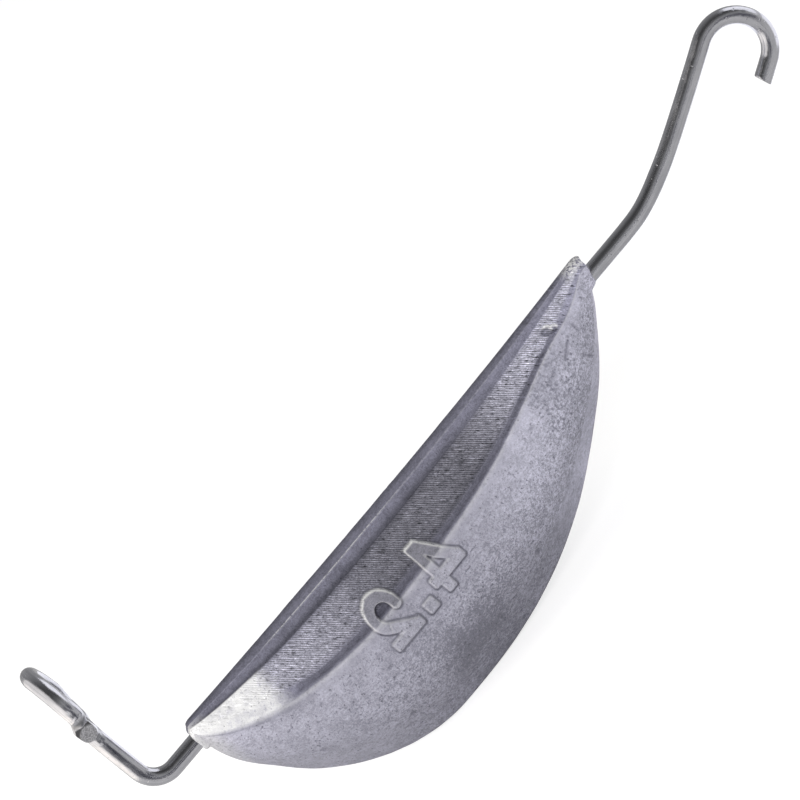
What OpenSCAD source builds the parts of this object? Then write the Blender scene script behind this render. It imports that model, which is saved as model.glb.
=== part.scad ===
// In-line keel sinker: a boat-shaped lead casting on one stainless wire.
// X runs along the wire from the closed eye to the open hook, Z is up and the keel hangs down.
// The origin is the middle of the closed eye.

/* [Wire] */
// Diameter of the wire
wire_d = 2.4; // [1.6:0.1:2.8]
// Centre line radius of the closed eye
eye_r = 5.2; // [4.2:0.1:8]
// Centre line radius of the small bend below the eye
eye_neck_r = 3; // [2:0.1:4]
// How far the cut end of the eye stays off the neck
eye_end_gap = 0.1; // [0.05:0.05:0.6]
// Straight length of the stem below the eye
stem_len = 6.1; // [3:0.1:20]
// Distance from the stem to the casting
stem_gap = 8.3; // [6:0.1:20]
// Centre line radius of the bend below the stem
stem_bend_r = 3.4; // [2:0.1:4]
// Straight run between the casting and the rise to the hook
hook_run = 8; // [3:0.1:30]
// Angle at which the rise to the hook begins
hook_slope = 22.5; // [10:0.5:40]
// Centre line radius of the bend that starts the rise
hook_bend_r = 15; // [8:0.5:25]
// Radius of the slight bow in the rise and in the tail
bow_r = 430; // [200:10:800]
// Angle that the rise turns along its bow
leg_turn = 2.5; // [1:0.5:8]
// Centre line radius of the hook
hook_r = 4.75; // [3.6:0.05:8]
// Angle that the tail beyond the hook's half turn takes up along its bow
tail_turn = 0.35; // [0.2:0.05:1.5]

/* [Casting] */
// Length of the casting from tip to tip
lead_len = 78; // [60:0.5:110]
// Greatest depth of the keel below the wire
keel_drop = 24.5; // [18:0.1:34]
// Half width of the keel's edge
keel_edge = 0.35; // [0.2:0.05:0.8]
// Half width of the casting at the gunwale
gunwale_w = 9.5; // [8:0.1:14]
// Depth of the gunwale below the wire
gunwale_drop = 5.5; // [5:0.05:8]
// How far the hull swells beyond a plain run from gunwale to chine
hull_swell = 1.9; // [0.4:0.1:3]
// Half width of the casting at the chine above the keel
chine_w = 5.5; // [3:0.1:7]
// Depth of the chine below the wire
chine_drop = 19.9; // [12:0.1:26]
// Half width of the deck at its outer foot
deck_w = 7.6; // [5:0.1:8]
// Depth of the deck's outer foot below the wire
deck_drop = 4.7; // [3:0.1:5]
// Half width of the deck where it meets the spine
deck_top_w = 3.7; // [3.4:0.05:4.5]
// Height of that line above the wire
deck_top_h = 0.15; // [0:0.05:0.5]
// Half width of the spine's roof
roof_w = 2.2; // [1.8:0.05:2.5]
// How far the roof falls from the ridge to its edge
roof_fall = 0.7; // [0.3:0.05:1]
// Half width of the spine at its foot
spine_w = 2.9; // [2.6:0.05:3.2]
// Height of the spine's foot above the wire
spine_foot_h = 0.72; // [0.6:0.02:1]
// Lead over the wire along the ridge
ridge_cover = 1.2; // [0.6:0.05:2]
// Rise of the ridge at the eye end
ridge_eye_rise = 0.3; // [0:0.05:1]
// Rise of the ridge at the hook end
ridge_hook_rise = 0.8; // [0:0.05:1.5]
// Lead beside the wire at both tips
tip_cover = 0.8; // [0.5:0.05:2]
// Lead below the wire at the eye end
eye_under = 1; // [0.5:0.05:2]
// Lead below the wire at the hook end
hook_under = 0.5; // [0.4:0.05:2]
// How far the hook end overhangs the wire
hook_rake = 1; // [0:0.1:2]
// Length of the rounding at both tips
tip_round = 1.1; // [0.6:0.1:2]
// How far a thin collar of lead runs out along the wire at the eye end
collar_len = 0.6; // [0.2:0.1:1.5]
// Lead over the wire at the collar's rim
collar_cover = 0.45; // [0.2:0.05:0.7]
// Room between the wire and the bore cast round it
cast_clearance = 0.01; // [0:0.01:0.05]

/* [Weight mark] */
// Distance from the eye end of the casting to the mark
mark_start = 25; // [22:0.1:28]
// Depth of the top of the mark below the wire
mark_drop = 2.6; // [2:0.1:4]
// Height of the figures
digit_h = 7; // [5:0.1:8]
// Width of the first figure
first_digit_w = 5.2; // [4:0.1:6]
// Width of the second figure
second_digit_w = 5.9; // [4.5:0.1:6.5]
// Space between the two figures, with the point in it
digit_space = 3.9; // [3:0.1:5]
// Width of the strokes
stroke_w = 1.5; // [1:0.1:1.8]
// Side of the square point
point_w = 1.8; // [1:0.1:2.4]
// How far the mark stands proud of the hull
mark_raise = 0.4; // [0.2:0.05:0.8]

/* [Hidden] */

wire_r = wire_d / 2;
overrun = 1;
$fn = 64;

// Where the casting is deepest and widest, and where its stern runs out into the hook tip
deepest_share = 0.33;
stern_share = 0.976;
// Powers that set how full the bow and how long the run of the stern are, at gunwale and at keel
gunwale_bow_power_share = 0.73;
keel_bow_power_share = 0.68;
gunwale_stern_power_share = 2.22;
keel_stern_power_share = 2.42;
// Power that sets how low the hull carries its swell
flank_power_share = 2.4;
// How much of the section the rounding takes off at the very tips
tip_round_share = 0.15;
// How close to the hook end the overhang begins, as a power of the length
rake_power_share = 60;
stations = 44;
flank_steps = 7;

tip_w = wire_r + tip_cover;

// Height of the ridge above the wire: a little hollow along its length
function ridge_rise(s) = s < 0.5 ? ridge_eye_rise : ridge_hook_rise;
function ridge_h(s) = wire_r + ridge_cover + ridge_rise(s) * pow(2 * s - 1, 2);

// Rounding of the very tips, 1 away from them
function tip_distance(s) = lead_len * min(s, 1 - s);
function round_share(d) = d >= tip_round ? 1 : sqrt(1 - pow(1 - d / tip_round, 2));
function tip_shrink_share(s) = 1 - tip_round_share * (1 - round_share(tip_distance(s)));

// Hull between gunwale and chine, as steps of a share t from top to bottom
function flank_w(t) = gunwale_w + (chine_w - gunwale_w) * pow(t, flank_power_share)
    + hull_swell * 4 * t * (1 - t);
function flank_z(t) = -gunwale_drop - (chine_drop - gunwale_drop) * t;

// Half section at the deepest station, from ridge to keel, as [half width, height]
full_section = concat(
    [[0, wire_r + ridge_cover]],
    [[roof_w, wire_r + ridge_cover - roof_fall]],
    [[spine_w, spine_foot_h]],
    [[(spine_w + deck_top_w) / 2, (spine_foot_h + deck_top_h * 3) / 4]],
    [[deck_top_w, deck_top_h]],
    [[(deck_top_w + deck_w) / 2, (deck_top_h - deck_drop) / 2]],
    [[deck_w, -deck_drop]],
    [[deck_w + (gunwale_w - deck_w) / 4, -deck_drop - (gunwale_drop - deck_drop) / 2]],
    [for (i = [0 : flank_steps]) [flank_w(i / flank_steps), flank_z(i / flank_steps)]],
    [[keel_edge, -keel_drop]]);
section_points = len(full_section);

// The same points on the small rounded tip, as shares of its half width and of its height
tip_w_shares = concat(
    [0, 0.4, 0.55, 0.6, 0.66, 0.78, 0.88, 0.94],
    [for (i = [0 : flank_steps]) cos(50 * i / flank_steps)],
    [0.18]);
tip_z_shares = concat(
    [0, 0.02, 0.06, 0.08, 0.1, 0.13, 0.16, 0.18],
    [for (i = [0 : flank_steps]) 0.2 + 0.7 * i / flank_steps],
    [1]);

// How far down from the gunwale to the keel a point of the section lies
function depth_share(i) = max(0, (-full_section[i][1] - gunwale_drop) / (keel_drop - gunwale_drop));
function between(top, bottom, i) = top + (bottom - top) * depth_share(i);

// Share of the full section at a share s of the length, none at either tip
function bow_share(u, i) = pow(1 - pow(1 - u, 2),
    between(gunwale_bow_power_share, keel_bow_power_share, i));
function stern_run_share(u, i) = 1 - pow(min(u, 1),
    between(gunwale_stern_power_share, keel_stern_power_share, i));
function fullness_share(s, i) = s < deepest_share
    ? bow_share(s / deepest_share, i)
    : stern_run_share((s - deepest_share) / (stern_share - deepest_share), i);

// One point of the half section at a share s of the length, x from the eye end, z from the wire
function half_w(s, i) = tip_w * tip_w_shares[i] * (1 - fullness_share(s, i))
    + full_section[i][0] * fullness_share(s, i);
function tip_drop(s) = wire_r + (s < deepest_share ? eye_under : hook_under);
function tip_z(s, i) = ridge_h(s) - (ridge_h(s) + tip_drop(s)) * tip_z_shares[i];
function height(s, i) = tip_z(s, i) * (1 - fullness_share(s, i))
    + (full_section[i][1] + ridge_h(s) - wire_r - ridge_cover) * fullness_share(s, i);

// Ring of the casting at a share s: down the near side, up the far side
function ring_point(s, i, side) = [
    lead_len * s - hook_rake * tip_z_shares[i] * pow(s, rake_power_share),
    side * half_w(s, i) * tip_shrink_share(s),
    height(s, i) * tip_shrink_share(s)];
function ring(s) = concat(
    [for (i = [0 : section_points - 1]) ring_point(s, i, -1)],
    [for (i = [section_points - 1 : -1 : 1]) ring_point(s, i, 1)]);
function station_share(k, n) = (1 - cos(180 * k / n)) / 2;

// Skin over rings of equal size, with both ends closed
module skin(rings) {
    n = len(rings[0]);
    last = len(rings) - 1;
    sides = [for (k = [0 : last - 1], i = [0 : n - 1])
        each [[k * n + i, (k + 1) * n + i, k * n + (i + 1) % n],
              [(k + 1) * n + i, (k + 1) * n + (i + 1) % n, k * n + (i + 1) % n]]];
    caps = [[for (i = [0 : n - 1]) i], [for (i = [n - 1 : -1 : 0]) last * n + i]];
    polyhedron(points = [for (r = rings) each r], faces = concat(sides, caps));
}

// The plain hull before the wire and the mark
module hull_form() {
    skin([for (k = [0 : stations]) ring(station_share(k, stations))]);
}

// Flat stroke along an arc about the origin
arc_steps = 20;
module arc_stroke(outer_r, from, to) {
    angles = [for (k = [0 : arc_steps]) from + (to - from) * k / arc_steps];
    polygon(concat(
        [for (a = angles) outer_r * [cos(a), sin(a)]],
        [for (k = [arc_steps : -1 : 0]) (outer_r - stroke_w) * [cos(angles[k]), sin(angles[k])]]));
}

// Mirrored figure two in a box w wide and digit_h high: a base, a bow and a stroke that joins them
module mirrored_two(w) {
    bow_outer_r = w / 2;
    bow_line_r = bow_outer_r - stroke_w / 2;
    reach = [bow_line_r, digit_h - bow_outer_r - stroke_w / 2];
    slant = atan2(reach[1], -reach[0]) + asin(bow_line_r / norm(reach));
    slant_len = sqrt(pow(norm(reach), 2) - pow(bow_line_r, 2));
    square([w, stroke_w]);
    translate([bow_outer_r, digit_h - bow_outer_r])
        arc_stroke(bow_outer_r, 0, slant + 90);
    translate([w - stroke_w / 2, stroke_w / 2])
        rotate(slant)
            translate([0, -stroke_w / 2])
                square([slant_len, stroke_w]);
}

// Mirrored figure four in a box w wide and digit_h high
module mirrored_four(w) {
    bar_z = digit_h * 0.22;
    stem_x = w * 0.14;
    translate([0, bar_z]) square([w, stroke_w]);
    translate([stem_x, 0]) square([stroke_w, digit_h]);
    polygon([
        [stem_x, digit_h],
        [stem_x + stroke_w * 1.25, digit_h],
        [w, bar_z + stroke_w],
        [w - stroke_w * 1.3, bar_z + stroke_w * 0.9]]);
}

// The mark as a flat outline, x from the eye end of the casting, y as height above the wire
module mark_outline() {
    translate([mark_start, -mark_drop - digit_h]) {
        mirrored_two(first_digit_w);
        translate([first_digit_w + (digit_space - point_w) / 2, 0]) square(point_w);
        translate([first_digit_w + digit_space, 0]) mirrored_four(second_digit_w);
    }
}

mark_len = first_digit_w + digit_space + second_digit_w;
mark_steps = 6;
// Points of the half section that carry the face of the mark, which spans the gunwale's step
mark_points = [4, 5, 8, 9, 10, 11, 12];
function mark_share(k) = (mark_start - stroke_w + (mark_len + 2 * stroke_w) * k / mark_steps) / lead_len;
function mark_ring(s) = concat(
    [for (i = mark_points) [lead_len * s, -half_w(s, i) - mark_raise, height(s, i)]],
    [[lead_len * s, -keel_edge, height(s, 12)], [lead_len * s, -keel_edge, height(s, 4)]]);

// Raised figures on the near side, cut to a face that follows the hull
module weight_mark() {
    intersection() {
        skin([for (k = [0 : mark_steps]) mark_ring(mark_share(k))]);
        rotate([90, 0, 0])
            translate([0, 0, deck_top_w])
                linear_extrude(gunwale_w + hull_swell + overrun) mark_outline();
    }
}

// Thin flared collar of lead round the wire at the eye end
module collar() {
    translate([-collar_len, 0, 0])
        rotate([0, 90, 0])
            cylinder(r1 = wire_r + collar_cover, r2 = tip_w, h = collar_len + tip_round);
}

// Cast lead: boat-shaped, with a spine along the wire, a sloping deck and a V keel
module lead_body() {
    color([0.62, 0.62, 0.66])
        translate([stem_gap, 0, wire_z]) {
            difference() {
                union() {
                    hull_form();
                    weight_mark();
                    collar();
                }
                translate([-collar_len - overrun, 0, 0])
                    rotate([0, 90, 0])
                        cylinder(r = wire_r + cast_clearance, h = collar_len + lead_len + 2 * overrun);
            }
        }
}

// Point at a distance and an angle from another, in the plane of a bend
function polar(r, angle) = [r * cos(angle), r * sin(angle)];

// Moves in two steps, a rounded one and the rest, so that bends meet to the last digit
coarse_steps = 1000;
module move_to(place) {
    coarse = [for (v = place) round(v * coarse_steps) / coarse_steps];
    translate(coarse)
        translate(place - coarse)
            children();
}

// Stands what follows up, so that its X and Y become X and Z
module upright() {
    rotate([90, 0, 0])
        children();
}

// Wire along an arc, from one angle about its middle and on by another
module bend(middle, bend_r, from, angle) {
    move_to([middle[0], middle[1], 0])
        rotate_extrude(angle = angle, start = from)
            translate([bend_r, 0])
                circle(r = wire_r);
}

// The eye: a neck that bends to the far side, then a ring that closes on the neck's near side
neck_angle = round(10 * acos(eye_neck_r / (eye_neck_r + eye_r))) / 10;
neck_middle = [eye_neck_r, stem_bend_r + stem_len];
eye_middle = neck_middle + polar(eye_neck_r + eye_r, 180 - neck_angle);
wire_z = -eye_middle[1];
// Angle of the ring at which its end comes as near to the neck as the gap allows
end_reach = eye_neck_r + wire_d + eye_end_gap;
middle_reach = eye_neck_r + eye_r;
end_cos = (pow(eye_r, 2) + pow(middle_reach, 2) - pow(end_reach, 2)) / (2 * eye_r * middle_reach);
ring_angle = floor(360 - acos(end_cos));

// The rise and the hook: a bend up, a slightly bowed leg, a half turn and a bowed tail
rise_start = [stem_gap + lead_len + hook_run, 0];
rise_middle = rise_start + [0, hook_bend_r];
leg_start = rise_middle + polar(hook_bend_r, hook_slope - 90);
leg_middle = leg_start + polar(bow_r, hook_slope + 90);
leg_slope = hook_slope + leg_turn;
hook_start = leg_middle + polar(bow_r, leg_slope - 90);
hook_middle = hook_start + polar(hook_r, leg_slope - 90);
tail_start = hook_middle + polar(hook_r, leg_slope - 90);
tail_middle = tail_start + polar(bow_r, leg_slope + 90);

module eye_and_stem() {
    translate([0, 0, stem_bend_r])
        cylinder(r = wire_r, h = stem_len);
    rotate([0, 0, 90])
        upright() {
            bend(neck_middle, eye_neck_r, 180 - neck_angle, neck_angle);
            bend(eye_middle, eye_r, 360 - neck_angle, ring_angle);
        }
}

module straight_run() {
    upright()
        bend([stem_bend_r, stem_bend_r], stem_bend_r, 180, 90);
    translate([stem_bend_r, 0, 0])
        rotate([0, 90, 0])
            cylinder(r = wire_r, h = rise_start[0] - stem_bend_r);
}

module rise_and_hook() {
    upright() {
        bend(rise_middle, hook_bend_r, 270, hook_slope);
        bend(leg_middle, bow_r, 270 + hook_slope, leg_turn);
        bend(hook_middle, hook_r, leg_slope - 90, 180);
        bend(tail_middle, bow_r, leg_slope - 90 - tail_turn, tail_turn);
    }
}

// One stainless wire: eye, stem, straight run through the lead, rise and hook
module through_wire() {
    color([0.78, 0.77, 0.74])
        translate([0, 0, wire_z]) {
            eye_and_stem();
            straight_run();
            rise_and_hook();
        }
}

lead_body();
through_wire();
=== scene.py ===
import math
from types import SimpleNamespace

import bpy
import numpy as np
from mathutils import Matrix, Vector


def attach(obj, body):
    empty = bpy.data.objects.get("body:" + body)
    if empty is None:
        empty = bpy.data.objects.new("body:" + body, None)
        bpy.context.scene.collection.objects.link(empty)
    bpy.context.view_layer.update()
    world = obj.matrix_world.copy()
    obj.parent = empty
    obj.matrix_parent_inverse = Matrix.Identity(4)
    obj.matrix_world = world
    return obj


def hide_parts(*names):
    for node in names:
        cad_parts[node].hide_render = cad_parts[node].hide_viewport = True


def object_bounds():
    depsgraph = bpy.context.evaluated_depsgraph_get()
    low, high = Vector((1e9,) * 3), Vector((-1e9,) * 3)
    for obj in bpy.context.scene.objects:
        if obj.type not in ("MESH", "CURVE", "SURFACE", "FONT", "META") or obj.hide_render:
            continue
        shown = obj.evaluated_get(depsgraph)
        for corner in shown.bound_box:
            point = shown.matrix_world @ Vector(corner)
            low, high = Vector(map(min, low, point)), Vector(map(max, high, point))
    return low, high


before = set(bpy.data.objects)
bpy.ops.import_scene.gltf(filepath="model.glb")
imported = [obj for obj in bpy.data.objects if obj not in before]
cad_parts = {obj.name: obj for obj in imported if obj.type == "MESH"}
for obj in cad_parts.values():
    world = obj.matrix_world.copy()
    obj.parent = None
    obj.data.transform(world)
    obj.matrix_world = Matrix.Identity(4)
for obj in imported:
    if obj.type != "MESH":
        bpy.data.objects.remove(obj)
cadBox = [list(corner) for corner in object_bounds()]
print("frame loaded")

# All lengths below are in mm, angles in degrees. The part's own frame is the row frame:
# x along the wire from the closed eye, z up, the raised figures on the near side at -y.
millimetre = 0.001

# The view of the photo, from the near side
view = {
    "elevation": 18,
    "roll": 49.86,
    "centre": (57.69, 2.52, -9.36),
    "fieldWidth": 102,
    "focalLength": 350,
    "sensor": 36,
}
elevation = math.radians(view["elevation"])
roll = math.radians(view["roll"])


def addObject(name, data):
    made = bpy.data.objects.new(name, data)
    bpy.context.scene.collection.objects.link(made)
    return made


def makeCamera():
    forward = Vector((0, math.cos(elevation), -math.sin(elevation)))
    level = Vector((1, 0, 0))
    upright = Vector((0, math.sin(elevation), math.cos(elevation)))
    right = level * math.cos(roll) - upright * math.sin(roll)
    up = level * math.sin(roll) + upright * math.cos(roll)
    distance = view["fieldWidth"] * view["focalLength"] / view["sensor"]
    place = Vector(view["centre"]) - forward * distance
    data = bpy.data.cameras.new("camera")
    data.lens = view["focalLength"]
    data.sensor_width = view["sensor"]
    camera = addObject("camera", data)
    turn = Matrix((right, up, -forward)).transposed()
    camera.matrix_world = Matrix.Translation(place * millimetre) @ turn.to_4x4()
    bpy.context.scene.camera = camera


# Helpers for shapes

def valueNoise(points, cell, seed):
    # Smooth random values from -1 to 1, with lumps of the size of a cell
    size = 32
    lattice = np.random.default_rng(seed).random((size, size, size))
    scaled = points / np.asarray(cell, float)
    base = np.floor(scaled).astype(int)
    part = scaled - base
    part = part * part * (3 - 2 * part)
    total = np.zeros(points.shape[:-1])
    for corner in np.ndindex(2, 2, 2):
        weight = np.ones(points.shape[:-1])
        for axis in range(3):
            weight = weight * (part[..., axis] if corner[axis] else 1 - part[..., axis])
        index = tuple((base[..., axis] + corner[axis]) % size for axis in range(3))
        total += lattice[index] * weight
    return total * 2 - 1


def smoothStep(low, high, value):
    share = np.clip((value - low) / (high - low), 0, 1)
    return share * share * (3 - 2 * share)


def hump(value, middle, reach):
    return np.exp(-((value - middle) / reach) ** 2)


def polar(radius, angle):
    return np.array([radius * math.cos(math.radians(angle)), radius * math.sin(math.radians(angle))])


def arc(middle, radius, start, end, steps):
    # Points of an arc and the direction of travel at each
    angles = np.radians(np.linspace(start, end, steps + 1))[:, None]
    turned = np.concatenate([np.cos(angles), np.sin(angles)], axis=1)
    direction = np.concatenate([-turned[:, 1:], turned[:, :1]], axis=1) * np.sign(end - start)
    return np.asarray(middle) + radius * turned, direction


def gridFaces(rows, columns, closeRows):
    count = rows if closeRows else rows - 1
    row, column = np.meshgrid(np.arange(count), np.arange(columns), indexing="ij")
    nextRow = (row + 1) % rows
    nextColumn = (column + 1) % columns
    faces = np.stack([row * columns + column, row * columns + nextColumn,
                      nextRow * columns + nextColumn, nextRow * columns + column], axis=-1)
    return faces.reshape(-1, 4).tolist()


def gridNormals(points):
    alongRows = np.gradient(points, axis=0)
    padded = np.concatenate([points[:, -1:], points, points[:, :1]], axis=1)
    alongColumns = (padded[:, 2:] - padded[:, :-2]) / 2
    normals = np.cross(alongColumns, alongRows)
    return normals / np.maximum(np.linalg.norm(normals, axis=-1, keepdims=True), 1e-9)


def makeMesh(name, points, faces, floats, vectors):
    # A smooth piece inside the solids' box, with the values that its material reads at each point
    low, high = np.array(cadBox) / millimetre
    mesh = bpy.data.meshes.new(name)
    mesh.from_pydata((np.clip(points, low, high) * millimetre).tolist(), [], faces)
    for kind, field, group in (("FLOAT", "value", floats), ("FLOAT_VECTOR", "vector", vectors)):
        for title, values in group.items():
            layer = mesh.attributes.new(title, kind, "POINT")
            layer.data.foreach_set(field, values.astype(np.float32).ravel())
    mesh.shade_smooth()
    mesh.validate()
    mesh.update()
    return addObject(name, mesh)


# The wire: its eye lies round the origin. Eye, neck and stem stand across the casting, the rest
# runs along it.
wire = {
    "radius": 1.2,
    "eyeRadius": 5.2,
    "eyeEndAngle": 249.5,
    "neckRadius": 3,
    "neckAngle": 68.5,
    "stemLength": 6.1,
    "stemBendRadius": 3.4,
    "riseStart": 94.3,
    "riseRadius": 15,
    "riseSlope": 22.5,
    "bowRadius": 430,
    "legTurn": 2.5,
    "hookRadius": 4.75,
    "tailTurn": 0.35,
    # How far the eye leans sideways: angle round it and shift
    "lean": ((-68.5, 0), (-60, 0.25), (-41, 0.32), (-25, 0.38), (0, 0.78), (18, 0.74), (42, 0.64), (72, 0.55),
             (100, 0.5), (125, 0.68), (145, 0.76), (170, 0.78), (186, 0.75), (198, 0.6), (204, 0.3), (210, 0),
             (249.5, 0)),
    "hookShift": -0.13,
    "riseLift": (0.3, 98.3, 3.6),  # amount, middle and reach along x
    "endPush": 0.15,  # the hook's end is longer by this, more on its outer side by the slant
    "endSlant": 0.25,
    "slantRings": 12,
    # How finely the wire is divided: round it, and each stretch along it
    "around": 48,
    "steps": {"eye": 190, "neck": 26, "stem": 34, "bend": 34, "straight": (24, 8, 34), "rise": 30, "leg": 64,
              "hook": 110, "tail": 18},
    "flatDepth": 0.015,
    "dentDepth": 0.06,
    "rimRound": 0.18,
    "rimSteps": ((0.1, 0.45), (0.45, 0.85), (1, 1)),  # inset and push, in shares of the rounding
    "faceRings": (0.6, 0.3, 0.02),
    "seed": 11,
}
# Height of the straight run, from the middle of the eye
wireHeight = -(wire["neckRadius"] + wire["eyeRadius"]) * math.sin(math.radians(wire["neckAngle"])) \
    - wire["stemBendRadius"] - wire["stemLength"]

# The nipped end of the eye: a slanting plane from top to foot, each given across and up
nip = {
    "top": (-4.93, -2.65),
    "foot": (-2.68, -5.93),
    "behind": 3,  # x of the end of the ring is less than this
    "lowest": -6.4,
    "start": 0.22,  # how far over the top the cut begins
    "crumbs": 0.05,  # roughness of the cut
    "faceMiddle": -4.35,
    "faceRadius": 1.32,
    "faceDepth": 0.12,
    "faceWiden": 0.1,
    "grooveHeight": -1.9,
    "grooveReach": 0.38,
    "grooveDepth": 0.3,
    "lipHeight": -1.05,
    "lipReach": 0.22,
    "lipRise": 0.1,
}


def wirePath():
    # The stretches of the middle line in order, each as places and directions in its own plane
    steps, bendRadius = wire["steps"], wire["stemBendRadius"]
    foot = wireHeight + bendRadius
    slope = wire["riseSlope"]
    hookSlope = slope + wire["legTurn"]
    bow, hookRadius = wire["bowRadius"], wire["hookRadius"]
    neckMiddle = np.array([wire["neckRadius"], foot + wire["stemLength"]])
    riseMiddle = np.array([wire["riseStart"], wireHeight + wire["riseRadius"]])
    legMiddle = riseMiddle + polar(wire["riseRadius"], slope - 90) + polar(bow, slope + 90)
    hookMiddle = legMiddle + polar(bow, hookSlope - 90) + polar(hookRadius, hookSlope - 90)
    tailMiddle = hookMiddle + polar(hookRadius, hookSlope - 90) + polar(bow, hookSlope + 90)
    stem = np.linspace(neckMiddle[1], foot, steps["stem"])[:, None]
    # The straight run needs few points inside the lead
    castStart, castEnd = casting["start"], casting["start"] + casting["length"]
    before, inside, after = steps["straight"]
    straight = np.concatenate([np.linspace(bendRadius, castStart + 1, before),
                               np.linspace(castStart + 4, castEnd - 4, inside),
                               np.linspace(castEnd - 2, wire["riseStart"], after)])[:, None]
    return {
        "eye": arc((0, 0), wire["eyeRadius"], wire["eyeEndAngle"], -wire["neckAngle"], steps["eye"]),
        "neck": arc(neckMiddle, wire["neckRadius"], 180 - wire["neckAngle"], 180, steps["neck"]),
        "stem": (np.concatenate([0 * stem, stem], 1), np.concatenate([0 * stem, 0 * stem - 1], 1)),
        "bend": arc((bendRadius, foot), bendRadius, 180, 270, steps["bend"]),
        "straight": (np.concatenate([straight, 0 * straight + wireHeight], 1),
                     np.concatenate([0 * straight + 1, 0 * straight], 1)),
        "rise": arc(riseMiddle, wire["riseRadius"], 270, 270 + slope, steps["rise"]),
        "leg": arc(legMiddle, bow, slope - 90, hookSlope - 90, steps["leg"]),
        "hook": arc(hookMiddle, hookRadius, hookSlope + 90, hookSlope - 90, steps["hook"]),
        "tail": arc(tailMiddle, bow, hookSlope - 90, hookSlope - 90 - wire["tailTurn"], steps["tail"]),
    }


def wireFrames():
    # The middle line in space, with two directions square to it at each place
    path = wirePath()
    ringAngles = np.linspace(wire["eyeEndAngle"], -wire["neckAngle"], len(path["eye"][0]))
    lean = np.interp(ringAngles, *np.array(wire["lean"]).T)
    for _ in range(6):
        lean[1:-1] = (lean[:-2] + lean[1:-1] + lean[2:]) / 3
    places, firsts, seconds = [], [], []
    for name, (spots, directions) in path.items():
        for step, ((a, b), (da, db)) in enumerate(zip(spots, directions)):
            if name in ("eye", "neck", "stem"):
                place = np.array([lean[step] if name == "eye" else 0, a, b])
                first = np.array([1.0, 0, 0])
                second = np.cross([0, da, db], first)
            else:
                place = np.array([a, 0, b])
                second = np.array([0, -1.0, 0])
                first = np.cross(second, [da, 0, db])
            if name in ("hook", "tail"):
                inward = smoothStep(0.15, 0.5, step / len(spots)) if name == "hook" else 1
                place = place + first * wire["hookShift"] * inward
            # The last place of a stretch is the first of the next
            if places and np.linalg.norm(place - places[-1]) < 1e-4:
                continue
            places.append(place)
            firsts.append(first)
            seconds.append(second)
    return np.array(places), np.array(firsts), np.array(seconds)


def nipEye(points, cut):
    # The near lower end of the ring is nipped: a lip, a groove, then a round face turned to the front
    x, across, height = (points[..., axis].copy() for axis in range(3))
    onEnd = (x < nip["behind"]) * (height > nip["lowest"]) * (across < 0)
    outer = onEnd * smoothStep(-4.6, -5.4, across)
    groove = outer * hump(height, nip["grooveHeight"], nip["grooveReach"])
    lip = outer * hump(height, nip["lipHeight"], nip["lipReach"])
    points[..., 1] += nip["grooveDepth"] * groove - nip["lipRise"] * lip
    points[..., 0] *= 1 - 0.06 * groove
    topY, topZ = nip["top"]
    footY, footZ = nip["foot"]
    plane = topY + (topZ - height) * (footY - topY) / (topZ - footZ)
    start = topZ + nip["start"] + 0.4 * smoothStep(0.2, -0.8, points[..., 0])
    flat = onEnd * smoothStep(0, 0.3, start - height) * (across < plane)
    fromMiddle = np.hypot(points[..., 0] - 0.1, (height - nip["faceMiddle"]) * 0.85)
    face = smoothStep(nip["faceRadius"], nip["faceRadius"] - 0.16, fromMiddle)
    crumbs = nip["crumbs"] * valueNoise(points, 0.4, wire["seed"] + 2) - nip["faceDepth"] * face
    points[..., 1] = np.where(flat > 0, across + (plane + crumbs - across) * flat, points[..., 1])
    points[..., 0] *= 1 + nip["faceWiden"] * onEnd * (across < -2.2) * smoothStep(-2.5, -3, height)
    # The flat round the face and the groove are marked for the steel's painted shade
    cut = np.maximum(cut, np.maximum((flat > 0.9) * 1.0, groove * 0.7))
    # The cut at the hook's end is a clean face too
    return cut, cut * np.maximum(face, points[..., 0] > nip["behind"])


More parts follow.
